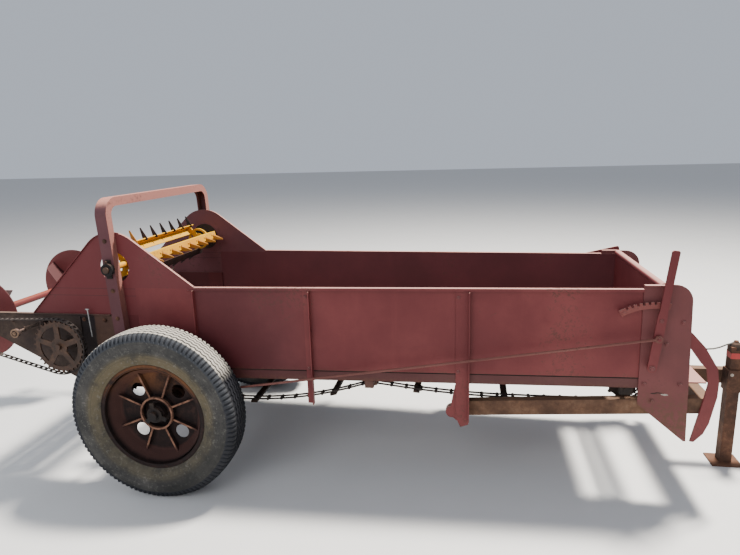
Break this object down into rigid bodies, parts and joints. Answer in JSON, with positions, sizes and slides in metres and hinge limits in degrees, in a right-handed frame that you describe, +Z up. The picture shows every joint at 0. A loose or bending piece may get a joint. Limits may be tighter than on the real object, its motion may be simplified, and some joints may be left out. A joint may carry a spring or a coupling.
{
  "type": "two-wheeled manure spreader",
  "caption": "Old two-wheeled, ground-driven manure spreader with a long steel box, toothed beaters under an arch, a rear distributor, a slatted apron and a tongue on a jack.",
  "frame": {"origin": "On the floor under the middle of the overall length, on the centre plane.", "axes": "+X points forward to the hitch, +Y to the machine's left, +Z up. The wheels and the jack's foot stand on z = 0."},
  "size_m": [4.9299, 1.59, 1.501],
  "materials": {
    "faded_red_paint": "matte",
    "rusty_iron": "rough",
    "dark_iron": "rough",
    "wheel_steel": "matte",
    "yellow_paint": "matte",
    "timber": "rough",
    "tyre": "matte"
  },
  "bodies": {
    "frame": {"side_panel_right": "faded_red_paint", "side_panel_left": "faded_red_paint", "raised_side_right": "faded_red_paint", "raised_side_left": "faded_red_paint", "headboard": "faded_red_paint", "floor_boards": "timber", "sill_right": "faded_red_paint", "sill_left": "faded_red_paint", "cross_members": "dark_iron", "stakes_right": "faded_red_paint", "stakes_left": "faded_red_paint", "front_plate_right": "faded_red_paint", "front_plate_left": "faded_red_paint", "arch": "faded_red_paint", "upper_bearings": "dark_iron", "rear_frame_right": "rusty_iron", "rear_frame_left": "rusty_iron", "axle_hangers": "rusty_iron", "tongue": "rusty_iron", "hitch_frame": "rusty_iron", "beam_brackets": "faded_red_paint", "front_braces": "faded_red_paint", "front_angle": "faded_red_paint", "jack_sleeve": "rusty_iron", "quadrant": "faded_red_paint", "rod_guides": "rusty_iron", "apron_run": "rusty_iron", "apron_return": "rusty_iron", "apron_slats": "dark_iron", "apron_shafts": "dark_iron", "return_carrier": "timber", "chain_right": "rusty_iron", "chain_axle": "rusty_iron", "chain_beaters": "rusty_iron", "chain_tensioner": "rusty_iron"},
    "axle_shaft": {"axle": "dark_iron"},
    "right_wheel": {"wheel_right": "wheel_steel", "tyre_right": "tyre"},
    "left_wheel": {"wheel_left": "wheel_steel", "tyre_left": "tyre"},
    "beater_main": {"main_beater": "yellow_paint"},
    "beater_upper": {"upper_beater": "yellow_paint"},
    "rear_distributor": {"distributor": "faded_red_paint"},
    "lever_feed": {"feed_lever": "faded_red_paint"},
    "rod_feed": {"feed_rod": "rusty_iron"},
    "lever_clutch": {"clutch_lever": "faded_red_paint"},
    "rod_clutch": {"clutch_rod": "rusty_iron"},
    "jack": {"jack_leg": "rusty_iron"}
  },
  "joints": [
    {"name": "axle_spin", "type": "hinge", "parent": "frame", "child": "axle_shaft", "pos_m": [-1.005, 0, 0.44], "axis": [0, 1, 0], "continuous": true},
    {"name": "wheel_right_spin", "type": "hinge", "parent": "axle_shaft", "child": "right_wheel", "pos_m": [-1.005, -0.7, 0.44], "axis": [0, 1, 0], "continuous": true},
    {"name": "wheel_left_spin", "type": "hinge", "parent": "axle_shaft", "child": "left_wheel", "pos_m": [-1.005, 0.7, 0.44], "axis": [0, 1, 0], "continuous": true},
    {"name": "main_beater_spin", "type": "hinge", "parent": "frame", "child": "beater_main", "pos_m": [-1.565, 0, 0.745], "axis": [0, 1, 0], "continuous": true},
    {"name": "upper_beater_spin", "type": "hinge", "parent": "frame", "child": "beater_upper", "pos_m": [-1.267, 0, 1.144], "axis": [0, 1, 0], "continuous": true},
    {"name": "distributor_spin", "type": "hinge", "parent": "frame", "child": "rear_distributor", "pos_m": [-2.225, 0, 0.827], "axis": [0, 1, 0], "continuous": true},
    {"name": "feed_lever_swing", "type": "hinge", "parent": "frame", "child": "lever_feed", "pos_m": [1.36582, -0.48121, 0.677], "axis": [0.0403, -0.9992, 0], "range_deg": [0, 36]},
    {"name": "feed_rod_swing", "type": "hinge", "parent": "lever_feed", "child": "rod_feed", "pos_m": [1.38271, -0.49254, 0.82107], "axis": [0.0403, -0.9992, 0], "range_deg": [-36, 0]},
    {"name": "clutch_lever_swing", "type": "hinge", "parent": "frame", "child": "lever_clutch", "pos_m": [0.9012, 0.49994, 0.946], "axis": [-0.0403, -0.9992, 0], "range_deg": [0, 40]},
    {"name": "clutch_rod_swing", "type": "hinge", "parent": "lever_clutch", "child": "rod_clutch", "pos_m": [0.89056, 0.51238, 0.86678], "axis": [-0.0403, -0.9992, 0], "range_deg": [-40, 0]},
    {"name": "jack_raise", "type": "slide", "parent": "frame", "child": "jack", "axis": [0, 0, 1], "range_m": [0, 0.2]}
  ],
  "couplings": [
    {"joint": "upper_beater_spin", "follows": "main_beater_spin", "ratio": 1},
    {"joint": "distributor_spin", "follows": "main_beater_spin", "ratio": 3.3333},
    {"joint": "feed_rod_swing", "follows": "feed_lever_swing", "ratio": -1},
    {"joint": "clutch_rod_swing", "follows": "clutch_lever_swing", "ratio": -1}
  ]
}
